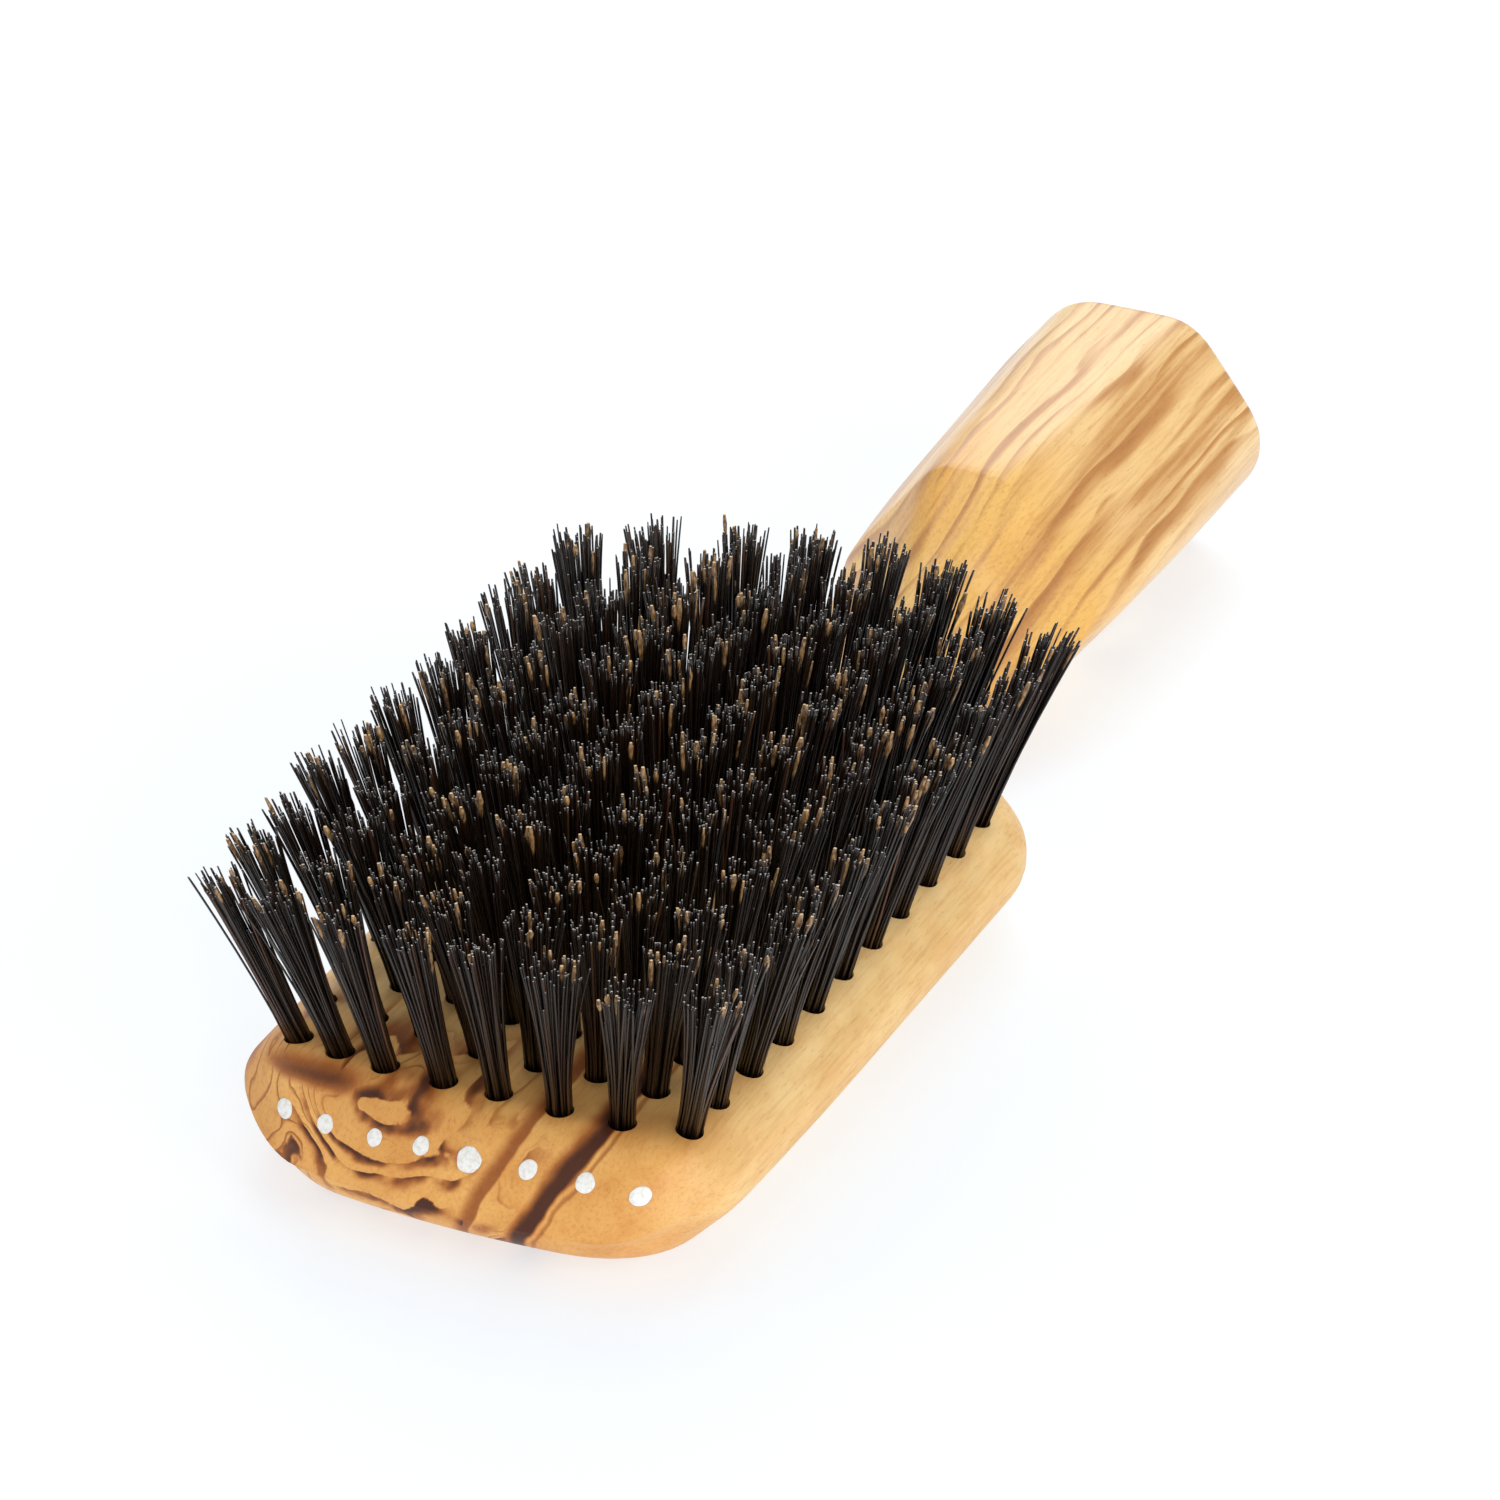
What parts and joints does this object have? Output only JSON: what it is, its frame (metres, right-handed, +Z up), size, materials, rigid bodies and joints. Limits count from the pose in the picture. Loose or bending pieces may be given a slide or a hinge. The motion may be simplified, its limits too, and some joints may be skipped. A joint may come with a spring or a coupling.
{
  "type": "beard brush",
  "caption": "Paddle-headed beard brush of olive wood with a faceted handle, fanned dark bristle tufts in long columns and white plugs in its front end.",
  "frame": {"origin": "middle of the bounding box, at the height of the surface the brush lies on", "axes": "+Y along the brush from the head's front end to the handle's end, +Z up out of the bristle face, +X to the right seen from the front end"},
  "size_m": [0.0624, 0.1838, 0.0358],
  "materials": {
    "olive_wood": "oiled olive wood, satin",
    "plug": "white, smooth, flush",
    "bristle": "dark natural bristle, paler at some tips",
    "draw_wire": "thin drawn wire"
  },
  "bodies": {
    "root": {"wood_body": "olive_wood", "channel_plug_1": "plug", "channel_plug_2": "plug", "channel_plug_3": "plug", "channel_plug_4": "plug", "channel_plug_5": "plug", "channel_plug_6": "plug", "channel_plug_7": "plug", "channel_plug_8": "plug", "bristle_row_1": "bristle", "bristle_row_2": "bristle", "bristle_row_3": "bristle", "bristle_row_4": "bristle", "bristle_row_5": "bristle", "bristle_row_6": "bristle", "bristle_row_7": "bristle", "bristle_row_8": "bristle", "draw_wire_1": "draw_wire", "draw_wire_2": "draw_wire", "draw_wire_3": "draw_wire", "draw_wire_4": "draw_wire", "draw_wire_5": "draw_wire", "draw_wire_6": "draw_wire", "draw_wire_7": "draw_wire", "draw_wire_8": "draw_wire"}
  },
  "joints": []
}
